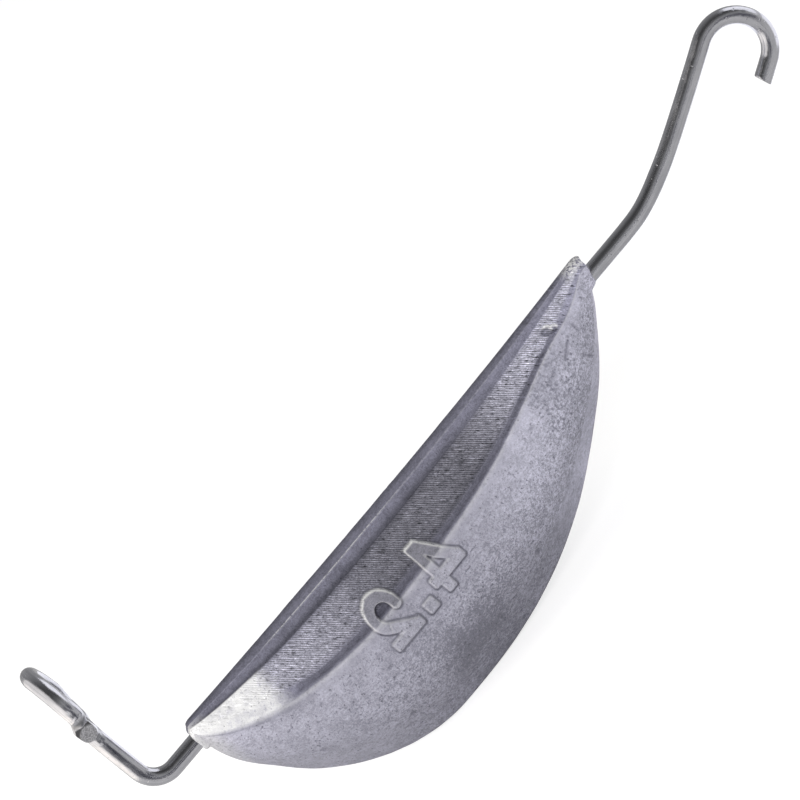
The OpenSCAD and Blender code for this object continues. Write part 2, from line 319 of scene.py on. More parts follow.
def makeWire():
    places, firsts, seconds = wireFrames()
    radius, seed = wire["radius"], wire["seed"]
    steps = np.linalg.norm(np.diff(places, axis=0), axis=1)
    along = np.concatenate([[0], np.cumsum(steps)])[:, None]
    angles = np.arange(wire["around"]) * 2 * math.pi / wire["around"]
    straightened = np.stack([along + 0 * angles, radius * np.cos(angles) + 0 * along,
                             radius * np.sin(angles) + 0 * along], axis=-1)
    # Drawn wire is nearly true; bending leaves a few flats and dents
    sink = wire["flatDepth"] * (1 + valueNoise(straightened, (2.6, 1.2, 1.2), seed)) / 2
    dents = np.clip(valueNoise(straightened, (1.1, 0.8, 0.8), seed + 1) - 0.55, 0, 1)
    sink = sink + wire["dentDepth"] * dents
    outward = np.cos(angles)[:, None] * firsts[:, None, :] + np.sin(angles)[:, None] * seconds[:, None, :]
    rings = places[:, None, :] + (radius - sink)[..., None] * outward
    ahead = np.gradient(places, axis=0)
    ahead = ahead / np.linalg.norm(ahead, axis=1, keepdims=True)

    def cap(index, forward):
        # Rings that round the rim and close the cut face
        rim = wire["rimRound"]
        profile = [(1 - inset * rim / radius, rim * push) for inset, push in wire["rimSteps"]]
        profile += [(scale, rim) for scale in wire["faceRings"]]
        return [places[index] - forward * (rim - push) + (rings[index] - places[index]) * scale
                for scale, push in profile]

    startRows = cap(0, -ahead[0])[::-1]
    endRows = cap(-1, ahead[-1])
    ordered = np.array(startRows + list(rings[1:-1]) + endRows)
    extra = len(endRows)
    cut = np.zeros(ordered.shape[:2])
    cut[:extra - 1] = 1
    cut[1 - extra:] = 1
    straightened = np.concatenate([ordered[:extra], straightened[1:-1], ordered[-extra:]])

    # The rise starts gently and the end of the hook is cut aslant
    lift, middle, reach = wire["riseLift"]
    ordered[..., 2] += lift * hump(ordered[..., 0], middle, reach)
    slantRings = wire["slantRings"]
    nearEnd = np.zeros(len(ordered))
    nearEnd[-extra - slantRings:-extra] = np.linspace(0, 1, slantRings)
    nearEnd[-extra:] = 1
    outside = (ordered - places[-1]) @ firsts[-1] / radius
    longer = nearEnd[:, None] * (wire["endPush"] + wire["endSlant"] * outside)
    ordered += longer[..., None] * ahead[-1]

    cut, endFace = nipEye(ordered, cut)
    rows, columns = cut.shape
    last = (rows - 1) * columns
    faces = gridFaces(rows, columns, False)
    faces.append(list(range(columns - 1, -1, -1)))
    faces.append(list(range(last, last + columns)))
    return makeMesh("sinkerWire", ordered.reshape(-1, 3), faces, {"cutFace": cut, "endFace": endFace},
                    {"straightened": straightened})


# The lead casting: x from its tip at the eye end, height over the wire's middle
casting = {
    "start": 8.3,
    "length": 78,
    "ridgeCover": 1.2,
    "ridgeEyeRise": 0.3,
    "ridgeHookRise": 0.8,
    "keelDrop": 24.5,
    "keelEdge": 0.35,
    "gunwaleWidth": 9.5,
    "gunwaleDrop": 5.5,
    "chineWidth": 5.5,
    "chineDrop": 19.9,
    "swell": 1.9,
    "flankPower": 2.4,
    "tipWidth": 2.0,
    "eyeUnder": 1,
    "hookUnder": 0.5,
    "rake": 1,
    "rakePower": 60,
    "tipRound": 1.1,
    "tipRoundShare": 0.15,
    "deepest": 0.33,
    "stern": 0.976,
    "bowPowers": (0.73, 0.68),
    "sternPowers": (2.22, 2.42),
    # The half section at the deepest station, from the ridge down: half width, height over the wire, then
    # the same points on the small rounded tip as shares of its half width and height. A point's stretch
    # is its number in this list from 0. It is 8 at the hull's upper edge, 15 at the chine, 16 at the keel.
    "section": {
        "ridge": (0, 2.4, 0, 0),
        "roofEdge": (2.2, 1.7, 0.4, 0.02),
        "spineFoot": (2.9, 0.72, 0.55, 0.06),
        "groove": (3.3, 0.2925, 0.6, 0.08),
        "deckTop": (3.7, 0.15, 0.66, 0.1),
        "deckMiddle": (5.65, -2.275, 0.78, 0.13),
        "deckFoot": (7.6, -4.7, 0.88, 0.16),
        "ledge": (8.075, -5.1, 0.94, 0.18),
    },
    "sectionSteps": (5, 5, 3, 3, 14, 26, 5, 9, 78, 18),  # how finely each stretch is divided
    "ledgeStart": 7,
    "ledgeFull": 17,
    "ledgeFade": 66,
    "ledgeEnd": 74,
    "ledgeBand": (5, 8.6),  # stretch over which the ledge is smoothed out at the ends
    # Local changes of the plain form: amount, middle and reach along it
    "keelSwell": (0.45, 68.5, 4.5),
    "ledgeLift": (0.3, 62, 7),
    "bowLift": (0.45, 3.4, 1.9),
    "creaseDrop": (0.75, 73, 4.5),
    "thinLift": 0.42,
    "thinEnd": (74.6, 77.6),
    # The cast skin: depth and size of its lumps, from broad to fine
    "skin": ((0.05, 6), (0.035, 1.7), (0.02, 0.7)),
    "ridgeNicks": 0.1,
    "hookEndNicks": 0.28,
    "pitFull": 0.12,  # a pit of this depth is wholly dark
    "flash": 0.05,
    "bore": 1.21,
    "boreDepth": 4,
    # The thin collar at the eye end: x, radius and how far the ring has left the hull's own outline
    "collar": ((-0.07, 2.15, 0.15), (-0.16, 2.1, 0.35), (-0.26, 2.02, 0.6), (-0.36, 1.92, 0.82),
               (-0.45, 1.8, 0.95), (-0.52, 1.65, 1), (-0.57, 1.49, 1)),
    "collarLumps": 0.12,
    "seed": 5,
}

# The raised figures on the near side
figures = {
    "start": 25,
    "drop": 2.6,
    "height": 7,
    "firstWidth": 5.2,
    "secondWidth": 5.9,
    "space": 3.9,
    "point": 1.8,
    "stroke": 1.5,
    "raise": 0.4,
    "corner": 0.3,
    "edge": 0.13,
    "barPlace": 0.22,
    "stemPlace": 0.14,
    "rim": (-0.07, 0.11),  # middle and reach of the rim with painted highlight and rubbed wear, by distance from the outline
    "foot": (0.15, 0.12),  # and of the painted shade and dirt round the foot
}

# Pits in the near side: place along the casting, level in the view, reach, depth
pits = [
    (46.07, -17.8, 0.42, 0.14),
    (9.14, -13.2, 0.35, 0.1),
    (19.98, -18.9, 0.38, 0.12),
    (22.7, -12.7, 0.3, 0.1),
    (68.0, -0.35, 0.55, 0.42),
    (68.8, -0.85, 0.45, 0.36),
    (52.3, -11.2, 0.35, 0.08),
    (57.4, -6.9, 0.4, 0.08),
    (13.6, -9.1, 0.35, 0.08),
    (36.8, -19.6, 0.4, 0.08),
]
# Pits in the far side: place, height over the wire, reach, depth
farPits = [
    (31, -9.5, 0.45, 0.1),
    (48.5, -13, 0.4, 0.12),
    (17, -15.5, 0.4, 0.1),
    (61, -6.5, 0.35, 0.1),
]
# Cold wrinkles near the hook end: from, to, half width, depth
wrinkles = [
    (66.98, -4.55, 68.9, -3.27, 0.22, 0.12),
    (68.9, -6.1, 69.5, -6.9, 0.2, 0.1),
    (70.85, -2.2, 70.9, -3.5, 0.2, 0.12),
    (67.9, -0.9, 68.6, -0.1, 0.25, 0.1),
    (63.2, -5.2, 64.6, -4.6, 0.2, 0.06),
]


def halfSection():
    # Rows of half width, height, tip shares and stretch, from the ridge to the keel's edge
    steps = casting["sectionSteps"]
    gunwale, chine = casting["gunwaleWidth"], casting["chineWidth"]
    # The flank's points stand closer below its upper edge, and at the tip it is a short arc
    flank = np.linspace(0, 1, steps[8] + 1) ** 1.25
    bulge = casting["swell"] * 4 * flank * (1 - flank)
    width = gunwale + (chine - gunwale) * flank ** casting["flankPower"] + bulge
    height = -casting["gunwaleDrop"] - (casting["chineDrop"] - casting["gunwaleDrop"]) * flank
    tipShares = (np.cos(np.radians(50 * flank)), 0.2 + 0.7 * flank)
    hull = np.stack([width, height, *tipShares, 8 + 7 * flank], axis=-1)
    keel = np.array([casting["keelEdge"], -casting["keelDrop"], 0.18, 1, 16])
    corners = [np.array([*key, number]) for number, key in enumerate(casting["section"].values())] + [hull[0]]
    rows = []
    for here, there, count in zip(corners, corners[1:], steps):
        rows.extend(here + (there - here) * step / count for step in range(count))
    rows.extend(hull[:-1])
    rows.extend(hull[-1] + (keel - hull[-1]) * step / steps[9] for step in range(steps[9] + 1))
    return np.array(rows)


def stationPlaces():
    # Where the rings of points stand, closer at the tips, the figures and the hook end
    tip = np.array([0, 0.03, 0.09, 0.17, 0.27, 0.4, 0.55, 0.75, 1.0, 1.25])
    length = casting["length"]
    return np.concatenate([
        tip,
        np.arange(1.5, 23, 0.34),
        np.arange(23, 42, 0.13),
        np.arange(42.2, 62, 0.34),
        np.arange(62, length - 1.3, 0.2),
        length - tip[::-1],
    ])


def plainForm(section, places):
    # Fullness is 1 at the deepest station and falls to 0 at both tips
    length, deepest = casting["length"], casting["deepest"]
    share = (places / length)[:, None]
    fullWidth, fullHeight, tipWidth, tipHeight = (section[None, :, column] for column in range(4))
    hullDepth = casting["keelDrop"] - casting["gunwaleDrop"]
    depth = np.maximum(0, (-fullHeight - casting["gunwaleDrop"]) / hullDepth)
    (bowHigh, bowLow), (sternHigh, sternLow) = casting["bowPowers"], casting["sternPowers"]
    bowReach = np.clip(share / deepest, 0, 1)
    sternReach = np.clip((share - deepest) / (casting["stern"] - deepest), 0, 1)
    bowFullness = (1 - (1 - bowReach) ** 2) ** (bowHigh + (bowLow - bowHigh) * depth)
    sternFullness = 1 - sternReach ** (sternHigh + (sternLow - sternHigh) * depth)
    atBow = share < deepest
    fullness = np.where(atBow, bowFullness, sternFullness)
    rise = np.where(share < 0.5, casting["ridgeEyeRise"], casting["ridgeHookRise"])
    ridge = wire["radius"] + casting["ridgeCover"] + rise * (2 * share - 1) ** 2
    tipDrop = wire["radius"] + np.where(atBow, casting["eyeUnder"], casting["hookUnder"])
    width = casting["tipWidth"] * tipWidth * (1 - fullness) + fullWidth * fullness
    height = (ridge - (ridge + tipDrop) * tipHeight) * (1 - fullness) \
        + (fullHeight + ridge - wire["radius"] - casting["ridgeCover"]) * fullness
    fromTip = length * np.minimum(share, 1 - share)
    rounding = np.sqrt(1 - (1 - np.minimum(fromTip / casting["tipRound"], 1)) ** 2)
    shrink = 1 - casting["tipRoundShare"] * (1 - rounding)
    along = length * share - casting["rake"] * tipHeight * share ** casting["rakePower"]
    return along + 0 * width, width * shrink, height * shrink


def trimForm(places, stretch, along, width, height):
    # Where the real casting leaves the plain form
    def change(name):
        amount, middle, reach = casting[name]
        return amount * hump(along, middle, reach)

    # The keel is a little fuller and the ledge a little higher towards the hook
    height = height - change("keelSwell") * np.clip((stretch - 9) / 6, 0, 1)
    height = height + change("ledgeLift") * smoothStep(5.2, 6, stretch) * (1 - smoothStep(8, 9.5, stretch))
    # The lead runs out thin under the wire at the hook end, and the keel rises sooner at the eye end
    thin = smoothStep(*casting["thinEnd"], along) * smoothStep(9, 15, stretch)
    height = height + thin * casting["thinLift"] + change("bowLift") * smoothStep(10, 15, stretch)
    height = height - change("creaseDrop") * smoothStep(4.5, 6.5, stretch) \
        * (1 - smoothStep(8.6, 12, stretch))

    # The step between deck and hull runs out towards both ends
    full = smoothStep(casting["ledgeStart"], casting["ledgeFull"], places) \
        * (1 - smoothStep(casting["ledgeFade"], casting["ledgeEnd"], places))
    first, last = casting["ledgeBand"]
    low, high = (int(np.argmin(np.abs(stretch[0] - key))) for key in (first, last))
    share = np.clip((stretch - first) / (last - first), 0, 1)
    inside = (stretch > first) & (stretch < last)
    for values in (width, height):
        straight = values[:, low, None] * (1 - share) + values[:, high, None] * share
        values[:] = np.where(inside, straight + (values - straight) * full[:, None], values)

    # Edges as a mould and handling leave them: rounded, not sharp
    for _ in range(2):
        for values in (width, height):
            values[:, 1:-1] = (values[:, :-2] + 2 * values[:, 1:-1] + values[:, 2:]) / 4
    return width, height


def boxField(x, z, low, high, corner):
    middle = (np.array(low) + np.array(high)) / 2
    half = (np.array(high) - np.array(low)) / 2 - corner
    outX = np.abs(x - middle[0]) - half[0]
    outZ = np.abs(z - middle[1]) - half[1]
    return np.hypot(np.maximum(outX, 0), np.maximum(outZ, 0)) + np.minimum(np.maximum(outX, outZ), 0) - corner


def strokeField(x, z, start, end, halfWidth):
    run = np.array(end) - np.array(start)
    length = np.hypot(*run)
    run = run / length
    along = (x - start[0]) * run[0] + (z - start[1]) * run[1]
    across = -(x - start[0]) * run[1] + (z - start[1]) * run[0]
    return boxField(along, across, (0, -halfWidth), (length, halfWidth), 0.1)


def arcField(x, z, middle, radius, halfWidth, start, turn):
    angle = (np.degrees(np.arctan2(z - middle[1], x - middle[0])) - start) % 360
    radial = np.abs(np.hypot(x - middle[0], z - middle[1]) - radius) - halfWidth
    firstEnd = middle + polar(radius, start)
    endDistance = np.hypot(x - firstEnd[0], z - firstEnd[1]) - halfWidth
    return np.where(angle <= turn, radial, endDistance)


def figureField(x, z):
    # Distance to the raised figures, less than nothing inside them
    height, stroke, corner = figures["height"], figures["stroke"], figures["corner"]
    x = x - figures["start"]
    z = z + figures["drop"] + height
    width = figures["firstWidth"]
    line = width / 2 - stroke / 2
    reach = (line, height - width / 2 - stroke / 2)
    slant = math.degrees(math.atan2(reach[1], -reach[0]) + math.asin(line / math.hypot(*reach)))
    slantStart = np.array([width - stroke / 2, stroke / 2])
    slantEnd = slantStart + polar(math.sqrt(math.hypot(*reach) ** 2 - line ** 2), slant)
    left = width + (figures["space"] - figures["point"]) / 2
    fields = [
        boxField(x, z, (0, 0), (width, stroke), corner),
        arcField(x, z, np.array([width / 2, height - width / 2]), line, stroke / 2, 0, slant + 90),
        strokeField(x, z, slantStart, slantEnd, stroke / 2),
        boxField(x, z, (left, 0), (left + figures["point"], figures["point"]), corner),
    ]
    x = x - width - figures["space"]
    width = figures["secondWidth"]
    bar = figures["barPlace"] * height
    stem = figures["stemPlace"] * width
    diagonal = strokeField(x, z, (stem + 0.5, height + 0.5), (width - 0.6, bar + stroke / 2), stroke / 2)
    fields.append(boxField(x, z, (0, bar), (width, bar + stroke), corner))
    fields.append(boxField(x, z, (stem, 0), (stem + stroke, height), corner))
    fields.append(np.maximum(diagonal, z - height))
    return np.minimum.reduce(fields)


def raisedWidth(places, stretch, raised, width, height):
    # The figures' face bridges the ledge
    bridge = np.isin(stretch[0], (4, 5, 8)) | ((stretch[0] > 8) & (stretch[0] < 13))
    end = figures["start"] + figures["firstWidth"] + figures["space"] + figures["secondWidth"]
    made = width.copy()
    for row in np.flatnonzero((places > figures["start"] - 3) & (places < end + 3)):
        face = np.interp(-height[row], -height[row, bridge], width[row, bridge]) + figures["raise"]
        made[row] = width[row] + (face - width[row]) * raised[row]
    return made


def hollows(points, farSide):
    # Depth of the pits and wrinkles, and the upper rims of the deep pits, which get a painted highlight
    x = points[..., 0]
    level = points[..., 2] * math.cos(elevation) + points[..., 1] * math.sin(elevation)
    nearSide = 1 - farSide
    depth = 0 * x
    rims = 0 * x
    for pitX, pitLevel, reach, drop in pits:
        distance = np.hypot((x - pitX) * 0.85, (level - pitLevel) * 1.2) / reach
        depth = depth + drop * np.exp(-distance ** 4) * nearSide
        if drop > 0.25:
            upper = (x - pitX) * math.sin(roll) + (level - pitLevel) * math.cos(roll)
            rims = np.maximum(rims, hump(distance, 1.2, 0.3) * smoothStep(0.1, 0.5, upper) * nearSide)
    for pitX, pitZ, reach, drop in farPits:
        distance = np.hypot(x - pitX, points[..., 2] - pitZ) / reach
        depth = depth + drop * np.exp(-distance ** 4) * farSide
    for startX, startLevel, endX, endLevel, halfWidth, drop in wrinkles:
        run = np.array([endX - startX, endLevel - startLevel])
        share = np.clip(((x - startX) * run[0] + (level - startLevel) * run[1]) / (run @ run), 0, 1)
        distance = np.hypot(x - startX - share * run[0], level - startLevel - share * run[1])
        depth = depth + drop * np.exp(-(distance / halfWidth) ** 2) * nearSide
    return depth, rims


def roughen(points, stretch, raised, hollow):
    # The uneven skin, pits and nicks all lie inside the plain form. Only the flash stands out.
    seed = casting["seed"]
    normals = gridNormals(points)
    sink = 0
    for number, (depth, size) in enumerate(casting["skin"]):
        sink = sink + depth * (1 + valueNoise(points, size, seed + number)) / 2
    sink = sink * (1 - 0.6 * raised) * (0.3 + 0.7 * smoothStep(3, 6, stretch)) + hollow
    # Nicks in the ridge and at the hook end
    nicks = np.clip(valueNoise(points, (0.9, 3, 3), seed + 3) - 0.35, 0, 1)
    sink = sink + casting["ridgeNicks"] * (1 - smoothStep(0, 1.2, stretch)) * nicks
    nicks = np.clip(valueNoise(points, 1.1, seed + 4) + 0.1, 0, 1)
    atHookEnd = smoothStep(74.5, 77.5, points[..., 0]) * (1 - smoothStep(2, 6, stretch))
    sink = sink + casting["hookEndNicks"] * atHookEnd * nicks
    points = points - normals * sink[..., None]
    # A thin line of flash where the two halves of the mould met
    height = np.clip(0.25 + valueNoise(points, (2.2, 9, 9), seed + 5), 0, 1)
    flash = (1 - smoothStep(0, 0.5, stretch)) * height
    return points + normals * (casting["flash"] * flash * smoothStep(1, 3, points[..., 0]))[..., None]


def circle(x, radius, angle):
    return np.stack([x + 0 * angle, radius * np.cos(angle), radius * np.sin(angle)], axis=-1)


def endRings(hull):
    # Rings from the hull to the bore: a ragged thin collar at the eye end, a plain edge at the hook end
    seed, bore, length = casting["seed"], casting["bore"], casting["length"]
    angle = np.arctan2(hull[0, :, 2], hull[0, :, 1])
    hullReach = np.hypot(hull[0, :, 1], hull[0, :, 2])
    ragged = casting["collarLumps"] * valueNoise(circle(0, 2, angle), 0.8, seed + 6)
    lumps = casting["collarLumps"] * valueNoise(circle(3, 1.9, angle), 1.1, seed + 7)
    collar = [*casting["collar"], (-0.57, bore + 0.1, 1), (-0.4, bore, 1), (casting["boreDepth"], bore, 1)]
    front = []
    for x, radius, blend in collar:
        # Each ring stays about within the hull's own outline
        room = np.maximum(hullReach + 0.08 + 0.4 * x, bore + 0.16)
        ring = circle(x, np.minimum(radius + lumps * (radius > 1.4), room), angle)
        ring[:, 0] -= ragged * (-0.6 < x < -0.15)
        front.append(hull[0] * (1 - blend) + ring * blend)
    angle = np.arctan2(hull[-1, :, 2], hull[-1, :, 1])
    back = [circle(length - casting["boreDepth"], bore, angle)]
    for x, radius, blend in ((-1.02, bore, 1), (-0.96, bore + 0.1, 0.8), (-0.9, 1.5, 0.4)):
        back.append(hull[-1] * (1 - blend) + circle(length + x, radius, angle) * blend)
    return front[::-1], back[::-1]


def bothSides(near, far):
    # A ring goes down the near side from the ridge and up the far side
    return np.concatenate([near, far[:, :0:-1]], axis=1)


def makeCasting():
    section = halfSection()
    places = stationPlaces()
    along, width, height = plainForm(section, places)
    stretch = np.broadcast_to(section[:, 4], width.shape)
    width, height = trimForm(places, stretch, along, width, height)
    field = figureField(along, height)
    raised = smoothStep(figures["edge"], -figures["edge"], field)
    nearWidth = raisedWidth(places, stretch, raised, width, height)

    nothing = 0 * width
    near = np.stack([along, -nearWidth, height], axis=-1)
    hull = bothSides(near, np.stack([along, width, height], axis=-1))
    # Which edges of the figures face up: those catch the light
    upward = (figureField(along, height + 0.06) - figureField(along, height - 0.06)) / 0.12
    floats = {
        "stretch": bothSides(stretch, stretch),
        "farSide": bothSides(nothing, nothing + 1),
        "raised": bothSides(raised, nothing),
        "rim": bothSides(hump(field, *figures["rim"]), nothing),
        "foot": bothSides(hump(field, *figures["foot"]), nothing),
        "upward": bothSides(upward, nothing),
    }
    hollow, rims = hollows(hull, floats["farSide"])
    floats["rim"] = np.maximum(floats["rim"], 0.8 * rims * (floats["stretch"] > 4))
    floats["hollow"] = np.clip(hollow / casting["pitFull"], 0, 1)
    hull = roughen(hull, floats["stretch"], floats["raised"], hollow)

    front, back = endRings(hull)
    ordered = np.array(front + list(hull) + back)
    for title, values in floats.items():
        floats[title] = np.pad(values, ((len(front), len(back)), (0, 0)), "edge")
    points = ordered.reshape(-1, 3) + np.array([casting["start"], 0, wireHeight])
    return makeMesh("leadCasting", points, gridFaces(*ordered.shape[:2], True), floats, {})


leadCasting = makeCasting()
print("lead casting:", len(leadCasting.data.polygons), "faces")

sinkerWire = makeWire()
print("wire:", len(sinkerWire.data.polygons), "faces")


# Materials

class Signal:
    # A socket that can be added, multiplied and so on like a number or a vector
    def __init__(self, finish, socket):
        self.finish = finish
        self.socket = socket

    def join(self, operation, first, second=None):
        # Vectors and colours go through Vector Math, plain values through Math
        vector = any(isinstance(part, tuple) or isinstance(part, Signal) and part.isVector()
                     for part in (first, second))
        inputs = {0: first}
        if second is not None:
            inputs[1] = second
        scalar = isinstance(second, (int, float)) or isinstance(second, Signal) and not second.isVector()
        if vector and operation == "MULTIPLY" and scalar:
            operation = "SCALE"
            inputs = {0: first, "Scale": second}
        kind = "ShaderNodeVectorMath" if vector else "ShaderNodeMath"
        return self.finish.node(kind, {"operation": operation}, inputs)

    def __add__(self, other):
        return self.join("ADD", self, other)

    def __radd__(self, other):
        return self.join("ADD", other, self)

    def __sub__(self, other):
        return self.join("SUBTRACT", self, other)

    def __rsub__(self, other):
        return self.join("SUBTRACT", other, self)

    def __mul__(self, other):
        return self.join("MULTIPLY", self, other)

    def __rmul__(self, other):
        return self.join("MULTIPLY", self, other)

    def isVector(self):
        return self.socket.type in {"VECTOR", "RGBA"}

    def apply(self, operation, other=None):
        return self.join(operation, self, other)

    def atMost(self, limit):
        return self.join("MINIMUM", self, limit)

    def ramp(self, low, high):
        # 0 up to low, 1 from high on, smooth between; falls instead where low is the larger
        return self.finish.node("ShaderNodeMapRange", {"interpolation_type": "SMOOTHSTEP"},
                                {"Value": self, "From Min": low, "From Max": high, "To Min": 0, "To Max": 1})

    def part(self, axis):
        return self.finish.node("ShaderNodeSeparateXYZ", {}, {"Vector": self}, axis)

    def dot(self, direction):
        settings = {"operation": "DOT_PRODUCT"}
        return self.finish.node("ShaderNodeVectorMath", settings, {0: self, 1: direction}, "Value")


class Finish:
    # The nodes of a material, or of the world
    def __init__(self, holder, output="ShaderNodeOutputMaterial"):
        self.holder = holder
        holder.use_nodes = True
        self.tree = holder.node_tree
        self.tree.nodes.clear()
        self.output = self.tree.nodes.new(output)

    def node(self, kind, settings=None, inputs=None, output=0):
        made = self.tree.nodes.new(kind)
        for title, value in (settings or {}).items():
            setattr(made, title, value)
        for title, value in (inputs or {}).items():
            socket = made.inputs[title]
            if isinstance(value, Signal):
                self.tree.links.new(value.socket, socket)
            elif socket.type == "RGBA" and len(value) == 3:
                socket.default_value = (*value, 1)
            else:
                socket.default_value = value
        return Signal(self, made.outputs[output])

    def attribute(self, title, output="Fac"):
        return self.node("ShaderNodeAttribute", {"attribute_name": title}, {}, output)

    def noise(self, place, scale, detail=3, roughness=0.5):
        return self.node("ShaderNodeTexNoise", {},
                         {"Vector": place, "Scale": scale, "Detail": detail, "Roughness": roughness})

    def cells(self, place, scale):
        return self.node("ShaderNodeTexVoronoi", {}, {"Vector": place, "Scale": scale}, "Distance")

    def combine(self, x, y, z):
        return self.node("ShaderNodeCombineXYZ", {}, {"X": x, "Y": y, "Z": z})

    def blend(self, share, first, second):
        # Mixes two colours
        return self.node("ShaderNodeMix", {"data_type": "RGBA"}, {0: share, 6: first, 7: second}, 2)

    def close(self, shader):
        self.tree.links.new(shader.socket, self.output.inputs["Surface"])
        return self.holder

    def surface(self, inputs, bumps):
        # bumps: pairs of a height in mm and the share of it that shows
        normal = None
        for height, strength in bumps:
            values = {"Height": height, "Distance": millimetre, "Strength": strength}
            if normal is not None:
                values["Normal"] = normal
            normal = self.node("ShaderNodeBump", {}, values)
        return self.close(self.node("ShaderNodeBsdfPrincipled", {}, {**inputs, "Normal": normal}))


lead = {
    "light": (0.50, 0.495, 0.59),
    "dark": (0.205, 0.205, 0.25),
    "stainAndShade": (0.10, 0.10, 0.13),
    "shade": (0.98, 0.98, 1.06),  # tint of the roof, spine and ledge
    "bright": (0.80, 0.80, 0.80),  # painted highlights, and rubbed and freshly cut lead
    "metallic": 0.4,
    "roughness": 0.5,
    # Painted light and shade: how light a zone is made beside the middle of the hull as the light falls on
    # it, at the eye end, then where each change along the casting starts and ends, and its amount
    "deckLevel": (1.03, (17, 33, -0.58), (48, 66, 0.85)),
    "hullLevel": (1.06, (4, 10, -0.06), (38, 58, 0.4)),
    "keelLevel": (1.04, (46, 60, 0.68)),
    "spineLevel": 0.55,
    "ledgeLevel": 0.42,
    "roofShade": 0.62,
    "undersideShade": 0.55,
    "lineSpacing": 0.28,
    "lineAngle": 50,
    "lineContrast": 0.66,  # the tool lines' share in the colour, and their depth
    "lineDepth": 0.024,
}


def leadNoises(made, place):
    # Patterns from broad to fine, and what is made of them alone
    noise = SimpleNamespace(
        broad=made.noise(place, 0.1, 4, 0.6),
        cloud=made.noise(place + (31, 7, 3), 0.42, 5, 0.62),
        patch=made.noise(place + (5, 40, 11), 1.3, 4, 0.6),
        fine=made.noise(place + (2, 5, 17), 3.2, 3, 0.65),
        grain=made.noise(place, 7, 2, 0.6),
        speck=made.noise(place + (9, 9, 9), 2.3, 2, 0.5),
        scratch=made.noise(place * (0.45, 3.4, 3.4) + (3, 0, 8), 1, 3, 0.55),
    )
    dotted = made.noise(place + (1, 8, 2), 0.9).ramp(0.48, 0.56)
    noise.dots = made.cells(place + (4, 1, 8), 1.5).ramp(0.2, 0.08) * dotted
    noise.pitted = made.cells(place, 1.1).ramp(0.16, 0.06) * noise.speck.ramp(0.5, 0.6)
    noise.stains = noise.speck.ramp(0.62, 0.69) * noise.cloud.ramp(0.36, 0.52) \
        + noise.scratch.ramp(0.66, 0.72) * 0.5 + noise.dots * 0.8
    return noise


def leadZones(made, x, patch):
    # Shares of the zones across the section, by stretch, and of patches along the casting
    stretch, raised = made.attribute("stretch"), made.attribute("raised")
    zone = SimpleNamespace(
        stretch=stretch,
        raised=raised,
        upward=made.attribute("upward"),
        roof=1 - stretch.ramp(0.95, 1.15),
        spine=stretch.ramp(1.0, 1.25) * (1 - stretch.ramp(3.5, 4.4)),
        deck=stretch.ramp(3.3, 4.4) * (1 - stretch.ramp(5.8, 6.15)) * (1 - raised),
        ledge=stretch.ramp(5.6, 6.3) * (1 - stretch.ramp(7.2, 8.1)) * (1 - raised * 0.85),
        hull=stretch.ramp(7.6, 8.3),
        keel=stretch.ramp(14.9, 15.1),
        ends=((1 - x.ramp(9, 16)) + x.ramp(64, 73)).atMost(1.0),
    )
    # The skin is rough on the hull, smooth along the crease and on the keel towards the hook
    smooth = zone.hull * (1 - stretch.ramp(8.2, 9.1)) + zone.keel * x.ramp(44, 52)
    zone.skin = 1 - smooth * 0.6
    # A stained patch near the hook, a painted highlight on the bow and painted shade on the underside, with
    # wavy borders
    wavyX = x + (patch - 0.5) * 2.4
    zone.hookPatch = wavyX.ramp(58.6, 59.8) * (1 - wavyX.ramp(65, 69))
    zone.hookPatch = zone.hookPatch * (1 - stretch.ramp(12, 15.5)) * zone.hull
    zone.bow = (1 - wavyX.ramp(9.4, 12.6)) * stretch.ramp(3.0, 3.9) * (1 - stretch.ramp(7.4, 8.2))
    underside = wavyX.ramp(25, 31) * (1 - wavyX.ramp(34, 42)) * (1 - made.attribute("farSide") * 0.75)
    zone.underside = underside * stretch.ramp(11, 13.2) * (1 - stretch.ramp(14.2, 15.2) * 0.6)
    return zone


def stainedAndShadedSkin(made, x, noise, zone):
    # Mottled grey, with stains, dirt in the pits, painted shade on the underside, and painted shade with some
    # dirt round the foot of the figures
    coarse = 0.75 + zone.stretch.ramp(9.5, 12.5) * x.ramp(12, 22) * 0.9 + zone.deck * 0.25
    mottle = (noise.patch.ramp(0.3, 0.72) - 0.5) * 0.28 + (noise.fine.ramp(0.3, 0.7) - 0.5) * 0.42
    mottle = (mottle + (noise.grain - 0.5) * 1.3) * coarse * zone.skin
    tone = 0.5 + (noise.broad.ramp(0.3, 0.7) - 0.5) * 0.15 + (noise.cloud.ramp(0.3, 0.7) - 0.5) * 0.22
    speckled = (0.08 + noise.speck.ramp(0.45, 0.62) * 0.55) * noise.patch.ramp(0.36, 0.56)
    tone = tone + mottle - zone.hookPatch * speckled - zone.underside * lead["undersideShade"]
    colour = made.blend(tone.ramp(-0.1, 1.1), lead["dark"], lead["light"])
    stained = noise.stains * 0.6 * (zone.hull * zone.skin + zone.deck * 0.9)
    colour = made.blend(stained, colour, lead["stainAndShade"])
    # Painted shade round the foot of the figures, darker on their lower edges, with some dirt
    foot = made.attribute("foot") * (0.4 + zone.hull * 0.35 + zone.upward.ramp(0.3, -0.7) * 0.35)
    return made.blend((made.attribute("hollow") * 0.6 + foot).atMost(1.0), colour, lead["stainAndShade"])


def levelAlong(x, plan):
    # A level that changes along the casting as its plan says
    level = plan[0]
    for start, end, change in plan[1:]:
        level = level + x.ramp(start, end) * change
    return level


